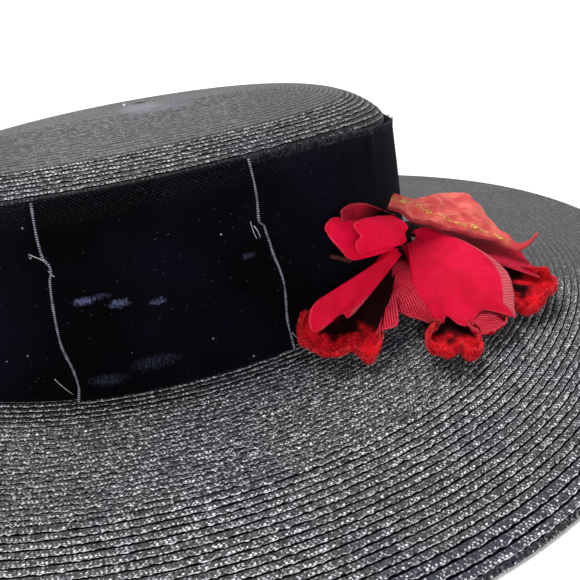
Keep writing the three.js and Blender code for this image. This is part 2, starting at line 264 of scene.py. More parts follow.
def straw_look(name, matte, calm_side, faint_rows=NO_ROWS, calm_rows=NO_ROWS, blue_rows=NO_ROWS,
               bold_rows=NO_ROWS, marks=()):
    """Lacquered braid. Cloth coordinates count ribs along a row and rows across it. Bright dots on
    the ribs and a line along each row's lip are painted glints, and the groove between two rows is
    painted dark, as shade. Faint rows have shallow grooves with lighter painted shade, blue rows are
    tinted, bold rows are darkest, and calm rows are matte, as is the straw on the hat's far side
    beyond calm_side: a flat grey that stands in for its grazing sheen, with few painted glints. Each
    mark is a worn spot or painted shade: its place, half-sizes, colour and strength."""
    look = Look(name)
    _, along, across = look.map_place("cloth")
    place = look.place()
    x, y = look.split(place)
    fine = look.noise(place, 1100.0, 2.0, 0.6)
    patches = look.noise(place, 24.0, 3.0)
    row = look.math("FLOOR", across)

    def among(rows):
        after = look.math("GREATER_THAN", row, rows[0] - 0.5)
        return look.times(after, look.math("LESS_THAN", row, rows[1] + 0.5))

    faint, blue, bold = among(faint_rows), among(blue_rows), among(bold_rows)
    lean = look.scaled(x, 0.3, y)
    calm = look.larger(among(calm_rows), look.fade(lean, calm_side, calm_side + 0.045))
    stray = look.minus(look.noise(place, 520.0, 1.0), 0.5)
    stray = look.times(stray, look.scaled(faint, 0.6, 0.3))
    share = look.plus(look.math("FRACT", across), stray)
    row_random = look.white_noise(row, 0.5, 0.5)
    uneven = look.times(look.minus(look.noise(place, 190.0, 2.0), 0.5), 1.6)
    shifted = look.plus(look.scaled(row_random, 7.0, along), uneven)

    def dots(centre, half, spread, slant):
        """One dot of straw a rib, and a random number for each."""
        place_along = look.plus(look.scaled(share, slant, shifted), centre)
        rib = look.math("FLOOR", place_along)
        size = look.white_noise(rib, row, centre + 3)
        width = look.scaled(size, spread * 0.7, spread * 0.5)
        reach = look.spot(look.math("FRACT", place_along), share, 0.5, centre, width, half)
        return look.fade(reach, 0.25, 1.1, 1, 0), look.white_noise(rib, row, centre)

    # Painted glints: bright dots on the ribs, brightest by chance; the same dots raise the bump.
    painted_glint = relief = 0.0
    for centre, half, spread, slant, dim, full in PAINTED_GLINT_LINES:
        dot, chance = dots(centre, half, spread, slant)
        painted_glint = look.larger(painted_glint, look.times(dot, look.fade(chance, dim, 1.0, 0.03, full)))
        relief = look.larger(relief, look.times(dot, full))
    dimmer = look.times(look.fade(share, 0.4, 0.55, 0.25, 1.0), bold)
    painted_glint = look.times(painted_glint, look.plus(dimmer, look.minus(1.0, bold)))
    # A painted highlight along each row's lip, which also raises the bump.
    lip = look.times(look.fade(share, 0.78, 0.82), look.fade(share, 0.86, 0.9, 1, 0))
    painted_glint = look.larger(painted_glint, look.times(lip, look.fade(fine, 0.4, 0.6, 0.2, 0.62)))
    painted_glint = look.times(painted_glint, look.fade(fine, 0.38, 0.6, 0.35, 1.25))
    painted_glint = look.times(painted_glint, look.fade(patches, 0.3, 0.7, 0.75, 1.0))
    painted_glint = look.times(painted_glint, look.scaled(calm, -0.8, 1.0))
    # Painted shade in the groove between two rows, lighter on faint and calm rows.
    groove = look.larger(look.fade(share, 0.87, 0.92), look.fade(share, 0.02, 0.08, 1, 0))
    groove = look.times(groove, look.scaled(faint, -0.3, 1.0))
    groove = look.times(groove, look.scaled(calm, -0.62, 1.0))

    base = look.mix(look.fade(fine, 0.32, 0.68), (0.003, 0.003, 0.004), (0.075, 0.075, 0.079))
    base = look.mix(look.times(bold, 0.75), base, (0.003, 0.003, 0.005))
    tint = look.fade(look.noise(place, 30.0, 2.0), 0.5, 0.7)
    base = look.mix(look.times(tint, 0.55), base, (0.016, 0.017, 0.038))
    olive = look.fade(look.noise(place, 41.0, 2.0), 0.58, 0.75)
    base = look.mix(look.times(olive, 0.5), base, (0.034, 0.033, 0.022))
    # Calm rows and the far side: a flat grey painted in place of their grazing sheen.
    darker, lighter = (tuple(scale * channel for channel in matte) for scale in (0.7, 1.3))
    base = look.mix(look.times(calm, 0.8), base, look.mix(patches, darker, lighter))
    near_blue = look.times(blue, look.scaled(calm, -0.4, 0.4))
    base = look.mix(near_blue, base, (0.012, 0.015, 0.036))
    colour = look.mix(painted_glint, base, (0.95, 0.96, 1.0))
    colour = look.mix(look.times(groove, 0.96), colour, (0.0006, 0.0006, 0.001))
    # Worn spots, and painted shade in the crown's small hole.
    for mark_x, mark_y, half_x, half_y, shade, strength in marks:
        spread = look.spot(x, y, mark_x, mark_y, half_x, half_y)
        spread = look.plus(spread, look.scaled(fine, 1.6, -0.8))
        colour = look.mix(look.fade(spread, 0.2, 1.1, strength, 0.0), colour, shade)

    relief = look.larger(relief, look.times(lip, 0.8))
    relief = look.times(relief, look.scaled(calm, -0.7, 1.0))
    relief = look.plus(relief, look.times(fine, 0.4))
    return look.finish(
        Base_Color=colour,
        Roughness=look.fade(painted_glint, 0.0, 0.5, 0.6, 0.3),
        Normal=look.bump(relief, 0.00025, 0.7),
        Specular_IOR_Level=look.fade(groove, 0.0, 0.6, 0.22, 0.0),
    )


def velvet_look(name, marks=()):
    """Navy-black pile. Cloth coordinates are millimetres along and up. Each mark is where the
    pile is crushed, as TAB_MARKS has it."""
    look = Look(name)
    cloth, along, up = look.map_place("cloth")
    squeezed = look.add("Mapping", {"Vector": cloth, "Scale": (2.6, 0.55, 1.0)}).outputs["Vector"]
    streaks = look.noise(squeezed, 1.0, 3.0, 0.65)
    cloudy = look.noise(look.place(), 28.0, 2.0)
    base = look.mix(look.fade(cloudy, 0.4, 0.75), (0.0006, 0.0006, 0.0012), (0.0022, 0.0022, 0.0062))
    # Painted glints: fine diagonal hatching near the top of the velvet, where the pile catches light.
    hatch_glint = look.fade(look.ripple(look.scaled(along, 0.8, up), 1.1), -0.2, 0.9)
    hatch_glint = look.times(hatch_glint, look.fade(up, 52.0, 60.0))
    hatch_glint = look.times(hatch_glint, look.fade(streaks, 0.4, 0.65))
    base = look.mix(look.times(hatch_glint, 0.3), base, (0.05, 0.05, 0.062))
    ragged = look.noise(cloth, 0.9, 3.0, 0.7)
    for turn, mark_up, half_long, half_high, strength in marks:
        mark_along = 1000 * TAB_RADIUS * math.radians(turn)
        spread = look.spot(along, up, mark_along, mark_up, half_long, half_high)
        spread = look.plus(spread, look.scaled(ragged, 2.4, -1.0))
        blob = look.fade(spread, -0.1, 1.0, strength, 0.0)
        blob = look.times(blob, look.fade(streaks, 0.36, 0.66, 0.1, 1.0))
        base = look.mix(blob, base, (0.2, 0.22, 0.42))
    for scale, least, shade in LINT:
        lint = look.add("TexVoronoi", {"Vector": cloth, "Scale": scale, "Randomness": 1.0})
        speck = look.fade(lint.outputs["Distance"], 0.05, 0.1 * (scale + 0.4), 1, 0)
        chosen = look.fade(look.white_noise(lint.outputs["Color"], scale, 0.0), least, least + 0.03)
        base = look.mix(look.times(speck, chosen), base, (shade, shade, shade * 1.1))
    return look.finish(
        Base_Color=base,
        Roughness=0.95,
        Specular_IOR_Level=0.05,
        Sheen_Weight=0.03,
        Sheen_Roughness=0.45,
        Sheen_Tint=(0.45, 0.42, 0.8),
        Normal=look.bump(streaks, 0.0004, 0.5),
    )


def thread_look(name, colour, dark):
    """Fine twisted thread or fibre, a little uneven in colour."""
    look = Look(name)
    worn = look.noise(look.place(), 700.0, 3.0)
    shade = look.mix(look.fade(worn, 0.35, 0.65), dark, colour)
    return look.finish(Base_Color=shade, Roughness=0.7, Specular_IOR_Level=0.3)


def cord_look(name, colour, dark, rib):
    """A woven edge with painted light on each rib's thick crest and painted shade between."""
    look = Look(name)
    _, along, _ = look.map_place("cloth")
    worn = look.noise(look.place(), 420.0, 2.0)
    lit = look.fade(look.ripple(along, 1000 * rib), -0.5, 0.6)
    share = look.times(lit, look.fade(worn, 0.3, 0.55, 0.35, 1.0))
    return look.finish(Base_Color=look.mix(share, dark, colour), Roughness=0.75, Specular_IOR_Level=0.2)


def petal_look(name, bright, deep, weave, contrast, border=(), heart=0.0):
    """Stiffened cloth. Cloth coordinates are millimetres across and along the petal; weave is how
    far apart its threads are. The border is where the rim has loose ribs: the start and end of
    the stretch, and how far in it reaches, in millimetres. The cloth is painted dark, as shade,
    less than heart millimetres from the flower's heart."""
    look = Look(name)
    _, across, along = look.map_place("cloth")
    _, round_rim, inwards = look.map_place("rim")
    place = look.place()
    warp = look.ripple(look.plus(across, along), weave)
    weft = look.ripple(look.minus(across, along), weave / 0.6)
    threads = look.scaled(look.times(warp, weft), 0.5, 0.5)
    cloudy = look.noise(place, 90.0, 4.0, 0.6)
    base = look.mix(look.fade(cloudy, 0.3, 0.7), deep, bright)
    pale = (min(1.0, bright[0] + 0.2), bright[1] + 0.1, bright[2] + 0.12)
    dark = tuple(channel * 0.3 for channel in deep)
    worn = look.fade(look.noise(place, 260.0, 3.0), 0.35, 0.6, 0.4, 1.0)
    raised = look.times(look.fade(threads, 0.5, 0.9), worn)
    base = look.mix(look.times(raised, contrast), base, pale)
    gaps = look.fade(threads, 0.0, 0.45, 1, 0)
    base = look.mix(look.times(gaps, contrast), base, dark)
    height = threads
    if border:
        start, stop, width = border
        ribs = look.scaled(look.ripple(look.scaled(inwards, 0.35, round_rim), BORDER_RIB), 0.5, 0.5)
        depth = look.scaled(look.noise(place, 300.0, 2.0), 2.0, inwards)
        inside = look.times(look.fade(round_rim, start - 1, start + 2),
                            look.fade(round_rim, stop - 2, stop + 1, 1, 0))
        band = look.times(look.fade(depth, width, width + 1.2, 1, 0), inside)
        base = look.mix(look.times(look.fade(ribs, 0.4, 0.9), band), base, (0.85, 0.22, 0.25))
        shade = look.times(look.fade(ribs, 0.0, 0.4, 1, 0), band)
        base = look.mix(look.times(shade, 0.9), base, dark)
        height = look.scaled(look.times(ribs, band), 2.0, threads)
    frayed = look.scaled(look.noise(place, 500.0, 2.0), 1.2, inwards)
    base = look.mix(look.fade(frayed, 0.6, 1.3, 0.3, 0.0), base, pale)
    # Painted shade: the cloth goes near-black deep in the flower, by its heart.
    if heart:
        away = look.math("SQRT", look.spot(across, along, 0.0, 0.0, 1.0, 1.0))
        away = look.scaled(cloudy, 8.0, away)
        base = look.mix(look.fade(away, heart - 4, heart + 10, 1.0, 0.0), base, (0.003, 0.0, 0.0004))
    return look.finish(
        Base_Color=base,
        Roughness=0.7,
        Specular_IOR_Level=0.04,
        Subsurface_Weight=0.3,
        Subsurface_Radius=(1.0, 0.15, 0.2),
        Subsurface_Scale=0.003,
        Normal=look.bump(height, 0.00016, 0.8),
    )


def pile_look(name, bright, deep, lit_from):
    """Red velvet with its pile standing in small clumps. It is painted dark, as shade, away from its
    rim, and less than lit_from millimetres along the petal."""
    look = Look(name)
    place = look.place()
    clumps = look.noise(place, 1100.0, 4.0, 0.7)
    shade = look.scaled(clumps, 0.7, look.times(look.noise(place, 160.0, 2.0), 0.4))
    base = look.mix(look.fade(shade, 0.42, 0.68), deep, bright)
    _, _, along = look.map_place("cloth")
    _, _, inwards = look.map_place("rim")
    along = look.scaled(look.noise(place, 130.0, 3.0, 0.6), 14.0, along)
    inwards = look.scaled(look.noise(place, 110.0, 3.0, 0.6), 9.0, inwards)
    # Painted shade, deep in the ruffle away from the lit rim.
    painted_shade = look.larger(look.fade(along, lit_from, lit_from + 7, 1, 0), look.fade(inwards, 10.0, 13.0))
    return look.finish(
        Base_Color=look.mix(painted_shade, base, (0.006, 0.0, 0.0006)),
        Roughness=0.9,
        Specular_IOR_Level=0.05,
        Sheen_Weight=0.06,
        Sheen_Roughness=0.35,
        Sheen_Tint=(1.0, 0.2, 0.15),
        Normal=look.bump(clumps, 0.0006, 0.9),
    )


def leaf_look():
    """Coral cloth with broken gilt on its midrib and paler side veins, going dark crimson near its rim
    and at its tip. Cloth coordinates are millimetres across and along the leaf."""
    look = Look("leaf_cloth")
    _, across, along = look.map_place("cloth")
    _, _, inwards = look.map_place("rim")
    place = look.place()
    cloudy = look.noise(place, 130.0, 4.0, 0.6)
    base = look.mix(look.fade(cloudy, 0.35, 0.68), (0.5, 0.03, 0.036), (0.7, 0.135, 0.1))
    uneven = look.minus(look.noise(place, 240.0, 3.0), 0.5)
    side = look.math("ABSOLUTE", look.scaled(uneven, 4.5, across))
    midrib = look.times(look.fade(side, 0.3, 1.7, 1, 0), look.fade(along, 44.0, 50.0, 1, 0))
    climb = look.math("FRACT", look.minus(look.times(along, 0.115), look.times(side, 0.1)))
    vein = look.math("ABSOLUTE", look.minus(climb, 0.5))
    veins = look.times(look.fade(vein, 0.015, 0.07, 1, 0), look.fade(side, 2.0, 13.0, 0.75, 0.1))
    broken = look.fade(look.noise(place, 380.0, 2.0), 0.42, 0.56)
    gilt = look.times(midrib, look.times(broken, 0.9))
    glint = look.fade(look.noise(place, 700.0, 2.0), 0.45, 0.65)
    gold = look.mix(glint, (0.4, 0.16, 0.03), (0.88, 0.55, 0.12))
    base = look.mix(look.times(veins, 0.4), base, (0.88, 0.3, 0.16))
    inwards = look.scaled(look.noise(place, 300.0, 3.0), 2.2, inwards)
    base = look.mix(look.fade(inwards, 2.2, 3.8, 0.95, 0.0), base, (0.26, 0.002, 0.012))
    base = look.mix(look.fade(along, 47.0, 53.0, 0.0, 0.85), base, (0.36, 0.002, 0.014))
    height = look.plus(look.times(midrib, 1.5), look.plus(veins, cloudy))
    return look.finish(
        Base_Color=look.mix(gilt, base, gold),
        Roughness=look.fade(gilt, 0.2, 0.8, 0.7, 0.4),
        Specular_IOR_Level=0.25,
        Sheen_Weight=0.1,
        Sheen_Tint=(1.0, 0.6, 0.5),
        Normal=look.bump(height, 0.0004, 0.8),
    )


# Mesh code

def placed(name, data):
    """A new object in the scene with that data."""
    made = bpy.data.objects.new(name, data)
    bpy.context.scene.collection.objects.link(made)
    return made


def cloth_object(name, points, faces, corners, material, weld=False):
    """A smooth mesh object with its cloth coordinates, one pair for each face corner."""
    mesh = bpy.data.meshes.new(name)
    mesh.from_pydata(np.asarray(points).tolist(), [], np.asarray(faces).tolist())
    layer = mesh.uv_layers.new(name="cloth")
    layer.data.foreach_set("uv", np.asarray(corners, np.float32).ravel())
    sculpt = bmesh.new()
    sculpt.from_mesh(mesh)
    if weld:
        bmesh.ops.remove_doubles(sculpt, verts=sculpt.verts, dist=1e-6)
    bmesh.ops.recalc_face_normals(sculpt, faces=sculpt.faces)
    for face in sculpt.faces:
        face.smooth = True
    sculpt.to_mesh(mesh)
    sculpt.free()
    mesh.materials.append(material)
    return placed(name, mesh)


def settle(piece, slot, *nodes):
    """The piece rides on the hat and stands for the nodes, which are hidden. The slot is not used."""
    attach(piece, "root")
    if nodes:
        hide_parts(*nodes)
    return piece


def unit(vectors):
    return vectors / np.maximum(np.linalg.norm(vectors, axis=-1, keepdims=True), 1e-12)


def smooth_route(rows, count):
    """A smooth curve through the rows, sampled evenly by row number (Catmull-Rom)."""
    rows = np.asarray(rows, float)
    padded = np.vstack([2 * rows[0] - rows[1], rows, 2 * rows[-1] - rows[-2]])
    steps = np.linspace(0, len(rows) - 1 - 1e-9, count)
    first = steps.astype(int)
    t = (steps - first)[:, None]
    a, b, c, d = (padded[first + i] for i in range(4))
    return 0.5 * (2 * b + (c - a) * t + (2 * a - 5 * b + 4 * c - d) * t ** 2
                  + (3 * b - a - 3 * c + d) * t ** 3)


def ring_faces(rings, steps, closed):
    """Faces between rings of points, and each one's ring, step and following ring."""
    j, k = np.meshgrid(np.arange(rings if closed else rings - 1), np.arange(steps), indexing="ij")
    below = (j + 1) % rings
    beside = (k + 1) % steps
    faces = np.stack([j * steps + k, j * steps + beside, below * steps + beside, below * steps + k], -1)
    return faces.reshape(-1, 4), j, k, below


def square_corners(*corners):
    """The faces' cloth coordinates, from the pairs for their four corners in order."""
    return np.stack([np.stack(corner, -1) for corner in corners], 2).reshape(-1, 2)


def tube(route, radii, sides):
    """Points, faces and corner coordinates of a round tube with flat ends. Its coordinates are
    millimetres along it and the share of the way round."""
    route = np.vstack([route[:1], route, route[-1:]])
    radii = np.concatenate([[0.0], radii, [0.0]])
    forward = unit(np.gradient(route, axis=0))
    steady = np.array([0.0, 0.0, 1.0]) if abs(forward[1][2]) < 0.9 else np.array([1.0, 0.0, 0.0])
    across = unit(np.cross(forward, steady))
    over = np.cross(across, forward)
    turns = np.linspace(0, 2 * math.pi, sides, endpoint=False)
    circle = (np.cos(turns)[None, :, None] * across[:, None]
              + np.sin(turns)[None, :, None] * over[:, None])
    points = route[:, None] + radii[:, None, None] * circle
    steps = 1000 * np.linalg.norm(np.diff(route, axis=0), axis=1)
    length = np.concatenate([[0.0], np.cumsum(steps)])
    faces, j, k, below = ring_faces(len(route), sides, False)
    near, far = length[j], length[below]
    corners = square_corners((near, k / sides), (near, (k + 1) / sides), (far, (k + 1) / sides),
                             (far, k / sides))
    return points.reshape(-1, 3), faces, corners


def tube_object(name, tubes, material):
    """One object made of (route, radii, sides) tubes."""
    points, faces, corners, start = [], [], [], 0
    for route, radii, sides in tubes:
        tube_points, tube_faces, tube_corners = tube(np.asarray(route, float), radii, sides)
        points.append(tube_points)
        faces.append(tube_faces + start)
        corners.append(tube_corners)
        start += len(tube_points)
    return cloth_object(name, np.vstack(points), np.vstack(faces), np.vstack(corners), material, weld=True)


def fibres_object(name, roots, tips, radius, material):
    """Many fine tapered fibres, each a three-sided spike from its root to its tip."""
    roots, tips = np.asarray(roots), np.asarray(tips)
    forward = unit(tips - roots)
    steady = np.where(np.abs(forward[:, 2:3]) < 0.9, [[0.0, 0.0, 1.0]], [[1.0, 0.0, 0.0]])
    across = unit(np.cross(forward, steady))
    over = np.cross(across, forward)
    bend = 0.25 * np.linalg.norm(tips - roots, axis=1, keepdims=True)
    middle = (roots + tips) / 2 + across * bend * random.uniform(-1, 1, (len(roots), 1))
    turns = np.linspace(0, 2 * math.pi, 3, endpoint=False)
    circle = np.cos(turns)[None, :, None] * across[:, None] + np.sin(turns)[None, :, None] * over[:, None]
    points = np.concatenate([roots[:, None] + radius * circle, middle[:, None] + 0.75 * radius * circle,
                             tips[:, None]], 1)
    start = 7 * np.arange(len(roots))[:, None]
    quads = [[i, (i + 1) % 3, 3 + (i + 1) % 3, 3 + i] for i in range(3)]
    spikes = [[3 + i, 3 + (i + 1) % 3, 6] for i in range(3)]
    faces = []
    for quad in quads:
        faces += (start + np.array(quad)).tolist()
    for spike in spikes:
        faces += (start + np.array(spike)).tolist()
    faces += (start + np.array([2, 1, 0])).tolist()
    mesh = bpy.data.meshes.new(name)
    mesh.from_pydata(points.reshape(-1, 3).tolist(), [], faces)
    mesh.uv_layers.new(name="cloth")
    mesh.shade_smooth()
    mesh.materials.append(material)
    return placed(name, mesh)


def grid_normals(places, closed_rings=False, closed_steps=False):
    """Unit normals of a grid of points, rings along the first axis and steps along the second."""
    def difference(axis, closed):
        if closed:
            return np.roll(places, -1, axis) - np.roll(places, 1, axis)
        return np.gradient(places, axis=axis)
    return unit(np.cross(difference(1, closed_steps), difference(0, closed_rings)))


def sheet_faces(count_u, count_v):
    """Faces of two layers of a grid, joined round their border, as vertex numbers."""
    layer = count_u * count_v
    i, j = np.meshgrid(np.arange(count_u - 1), np.arange(count_v - 1), indexing="ij")
    a = (i * count_v + j).ravel()
    top = np.stack([a, a + count_v, a + count_v + 1, a + 1], -1)
    bottom = layer + np.stack([a, a + 1, a + count_v + 1, a + count_v], -1)
    around = ([(0, j) for j in range(count_v - 1)]
              + [(i, count_v - 1) for i in range(count_u - 1)]
              + [(count_u - 1, j) for j in range(count_v - 1, 0, -1)]
              + [(i, 0) for i in range(count_u - 1, 0, -1)])
    ring = np.array([i * count_v + j for i, j in around])
    following = np.roll(ring, -1)
    border = np.stack([ring, following, layer + following, layer + ring], -1)
    return np.vstack([top, bottom, border])


def sheet_object(name, middle, thick, cloth, material, soft_edge=3):
    """A cloth sheet of that thickness about its middle surface, a grid of points. cloth gives
    each grid point's cloth coordinates. Its border is rounded over soft_edge grid steps."""
    count_u, count_v = middle.shape[:2]
    normals = grid_normals(middle)
    near_u = np.minimum(np.arange(count_u), np.arange(count_u)[::-1])[:, None]
    near_v = np.minimum(np.arange(count_v), np.arange(count_v)[::-1])[None, :]
    border = np.clip(np.minimum(near_u, near_v) / soft_edge, 0, 1)
    half = thick / 2 * (0.3 + 0.7 * np.sqrt(1 - (1 - border) ** 2))[..., None]
    points = np.vstack([(middle + half * normals).reshape(-1, 3), (middle - half * normals).reshape(-1, 3)])
    faces = sheet_faces(count_u, count_v)
    both = np.vstack([cloth.reshape(-1, 2)] * 2)
    return cloth_object(name, points, faces, both[faces.ravel()], material)


# The hat's oval

def oval_point(radius, height, angle, end_dip=CROWN_DIP):
    """A point of a round profile, placed on the hat's oval as in the part."""
    stretch = OVAL * np.minimum(1, radius / FOOT_RADIUS)
    outwards = np.maximum(0, (radius - FOOT_RADIUS) / BRIM_WIDTH)
    upwards = np.maximum(0, height) / CROWN_HEIGHT
    x = (radius + stretch) * np.cos(angle)
    y = (radius - stretch) * np.sin(angle)
    rim_share = np.minimum(1, radius / CROWN_TOP_RADIUS)
    dip = end_dip * np.cos(angle) ** 4 * rim_share ** DIP_SPREAD
    lower = (CROWN_SLOPE * y + dip) * upwards
    x = x + FOOT_X * (1 - outwards) + TOP_SHIFT * upwards
    return np.stack(np.broadcast_arrays(x, y, BRIM_TOP + height - lower), -1)


def slow_wave(angles, size, highest=9):
    """A slow uneven wave round the hat, of about that size."""
    wave = np.zeros_like(angles)
    for turns in range(2, highest):
        wave += random.normal() / turns * np.sin(turns * angles + random.uniform(0, 2 * math.pi))
    return size * wave


class BraidShell:
    """A closed straw surface made of rings of points, each on a sewn row of braid."""

    def __init__(self, steps):
        self.angles = np.linspace(0, 2 * math.pi, steps, endpoint=False)
        self.places, self.lifts, self.rows, self.shares = [], [], [], []
        self.row = 0

    def add_ring(self, places, lift, share):
        self.places.append(places)
        self.lifts.append(np.broadcast_to(lift, self.angles.shape))
        self.rows.append(self.row)
        self.shares.append(share)

    def add_rows(self, edges, grooves, place, shape, uneven):
        """Rows between the edges; place(distance, angles) gives the smooth surface."""
        waves = [slow_wave(self.angles, uneven) for _ in edges]
        waves[0] = waves[-1] = np.zeros_like(self.angles)
        for i, groove in enumerate(grooves):
            near = edges[i] + waves[i]
            far = edges[i + 1] + waves[i + 1]
            for share, rise in shape:
                distance = near + (far - near) * share
                self.add_ring(place(distance, self.angles), (rise - 0.8) * groove, share)
            self.row += 1

    def build(self, name, material, closed):
        places = np.array(self.places)
        normals = grid_normals(places, closed, True)
        if normals[OUTER_RING, :, 2].mean() < 0:
            normals = -normals
        lifts = np.array(self.lifts)
        points = places + lifts[..., None] * normals
        points[..., 2] = np.maximum(points[..., 2], 0.0)
        rings, steps = lifts.shape
        lengths = np.linalg.norm(np.roll(places, -1, 1) - places, axis=-1)
        totals = lengths.sum(1)
        around = np.concatenate([np.zeros((rings, 1)), np.cumsum(lengths, 1)], 1)
        around /= np.maximum(totals, 1e-9)[:, None]
        rows = np.array(self.rows)
        row_length = {row: totals[rows == row].mean() for row in set(self.rows)}
        ribs = np.array([max(4, round(row_length[row] / RIB_PITCH)) for row in self.rows])
        shares = np.array(self.shares)
        faces, j, k, below = ring_faces(rings, steps, closed)
        low = rows[j] + shares[j]
        high = np.where(rows[below] == rows[j], rows[j] + shares[below], rows[j] + 1.0)
        count = ribs[j]
        corners = square_corners((around[j, k] * count, low), (around[j, k + 1] * count, low),
                                 (around[below, k + 1] * count, high), (around[below, k] * count, high))
        return cloth_object(name, points.reshape(-1, 3), faces, corners, material, weld=not closed)


def row_edges(stretches, end):
    """Where the stretches' rows begin and end, and the groove before each."""
    edges, grooves = [], []
    stops = [start for start, _, _ in stretches[1:]] + [end]
    for (start, pitch, groove), stop in zip(stretches, stops):
        count = max(1, round((stop - start) / pitch))
        edges += [start + (stop - start) * i / count for i in range(count)]
        grooves += [groove] * count
    return edges + [end], grooves


# The brim

# How far the worn brim's edge stands out from its oval: direction in degrees, metres.
BRIM_TRIM = ((-180, 0.0), (-90, 0.0015), (-62, 0.0025), (-40, -0.004), (-15, -0.002), (20, 0.0),
             (60, -0.0025), (90, -0.005), (140, 0.0), (180, 0.0))


def smooth_trim():
    """The trim at each whole degree, evened out over 20 degrees."""
    degrees = np.arange(-190, 191)
    rows = np.interp((degrees + 180) % 360 - 180, *zip(*BRIM_TRIM))
    return np.convolve(rows, np.full(21, 1 / 21), "valid")


TRIM_BY_DEGREE = smooth_trim()


def brim_trim(angles):
    """The trim as a share of the brim's width."""
    turns = np.degrees((angles + math.pi) % (2 * math.pi)) - 180
    return np.interp(turns, np.linspace(-180, 180, 361), TRIM_BY_DEGREE) / BRIM_WIDTH


def brim_top_place(distance, angles):
    height = -BRIM_DROP * np.maximum(0, distance) / BRIM_WIDTH
    return oval_point(FOOT_RADIUS + distance * (1 + brim_trim(angles)), height, angles)


def brim_under_place(distance, angles):
    blend = BRIM_WIDTH - EDGE_FLAT - EDGE_BLEND
    plain = -BRIM_DROP * np.clip(distance, 0, blend) / BRIM_WIDTH - BRIM_THICK
    step = np.clip((distance - blend) / EDGE_BLEND, 0, 1)
    height = plain + (-BRIM_TOP - plain) * step
    return oval_point(FOOT_RADIUS + distance * (1 + brim_trim(angles)), height, angles)


def make_brim(material):
    shell = BraidShell(BRIM_STEPS)
    edges, grooves = row_edges(BRIM_STRETCHES, BRIM_WIDTH - EDGE_SOFT)
    shell.add_rows(edges, grooves, brim_top_place, ROW_SHAPE, BRIM_UNEVEN)
    for turn in np.linspace(math.pi / 2, -math.pi / 2, 6):
        distance = BRIM_WIDTH - EDGE_SOFT + EDGE_SOFT * math.cos(turn)
        height = -BRIM_DROP - EDGE_SOFT + EDGE_SOFT * math.sin(turn)
        share = 0.5 - turn / math.pi
        trimmed = distance * (1 + brim_trim(shell.angles))
        shell.add_ring(oval_point(FOOT_RADIUS + trimmed, height, shell.angles), 0.0, share)
    shell.row += 1
    edges, grooves = row_edges(((EDGE_SOFT - BRIM_WIDTH, UNDER_ROW, UNDER_GROOVE),), -BRIM_INNER)
    shell.add_rows(edges, grooves, lambda distance, angles: brim_under_place(-distance, angles),
                   PLAIN_ROW_SHAPE, BRIM_UNEVEN)
    brim = shell.build("brim_braid", material, closed=True)
    return settle(brim, "straw", "brim")


def make_brim_edge(material):
    """The braid's scalloped selvage round the brim's edge."""
    angles = np.linspace(0, 2 * math.pi, EDGE_RIBS * 4 + 1)
    distance = (BRIM_WIDTH - EDGE_RADIUS) * (1 + brim_trim(angles))
    route = oval_point(FOOT_RADIUS + distance, EDGE_RADIUS - BRIM_TOP + 0.0002, angles)
    phase = np.arange(len(angles)) % 4
    radii = EDGE_RADIUS * np.array([1.0, 0.86, 0.72, 0.86])[phase]
    edge = tube_object("brim_edge_braid", [(route, radii, 8)], material)
    return settle(edge, "straw")


# The crown

def crown_bulge(angle, height, radius):
    upwards = np.minimum(1, height / SIDE_HEIGHT)
    return END_FULLNESS * upwards * np.cos(angle) ** 2 * radius / FOOT_RADIUS


def crown_side_place(inset):
    top = SIDE_HEIGHT - inset - SHOULDER_ROUND

    def place(depth, angles):
        height = top - depth
        radius = CROWN_FOOT_RADIUS - inset - SIDE_LEAN * (height - GAP) / (top - GAP)
        return oval_point(radius + crown_bulge(angles, height, radius), height, angles)
    return place, top - GAP


def crown_dome_place(inset):
    """Rows on the dome keep an even width all round, so they start from a straight line."""
    rim = CROWN_TOP_RADIUS - inset - SHOULDER_IN
    long_half = rim * (1 + END_FULLNESS / FOOT_RADIUS) * (1 + OVAL / FOOT_RADIUS)
    wide_half = rim * (1 - OVAL / FOOT_RADIUS)
    start = 1 - wide_half / long_half

    def place(distance, angles):
        across = np.maximum(0, distance) / wide_half
        bulged = rim * (1 + END_FULLNESS * np.cos(angles) ** 2 / FOOT_RADIUS)
        x = bulged * (1 + OVAL / FOOT_RADIUS) * np.cos(angles) * (start + (1 - start) * across)
        y = bulged * (1 - OVAL / FOOT_RADIUS) * np.sin(angles) * across
        share = np.sqrt((x / long_half) ** 2 + (y / wide_half) ** 2)
        rise = DOME_RISE * (1 - (share * rim / (rim + SHOULDER_IN)) ** DOME_FULLNESS)
        rise = rise - CROWN_DISH * np.maximum(0, 1 - share ** 2) ** 2
        height = SIDE_HEIGHT - inset + rise
        upwards = height / CROWN_HEIGHT
        dip = CROWN_DIP * (x / long_half) ** 4 * share ** 8
        z = BRIM_TOP + height - (CROWN_SLOPE * y + dip) * upwards
        return np.stack([x + FOOT_X + TOP_SHIFT * upwards, y, z], -1)
    return place, wide_half


# Where the braid starts on the crown: a small hole beside its tucked end.
START_HOLE = (0.0107, 0.020)
START_END = (0.006, 0.019)


def start_relief(places):
    """How far the start of the braid sinks or lifts the crown's outer face."""
    def mound(centre, half_x, half_y, size):
        side = ((places[..., 0] - centre[0]) / half_x) ** 2
        along = ((places[..., 1] - centre[1]) / half_y) ** 2
        return size * np.exp(-side - along)
    return mound(START_HOLE, 0.0026, 0.0022, -0.0013) + mound(START_END, 0.0018, 0.003, 0.0008)


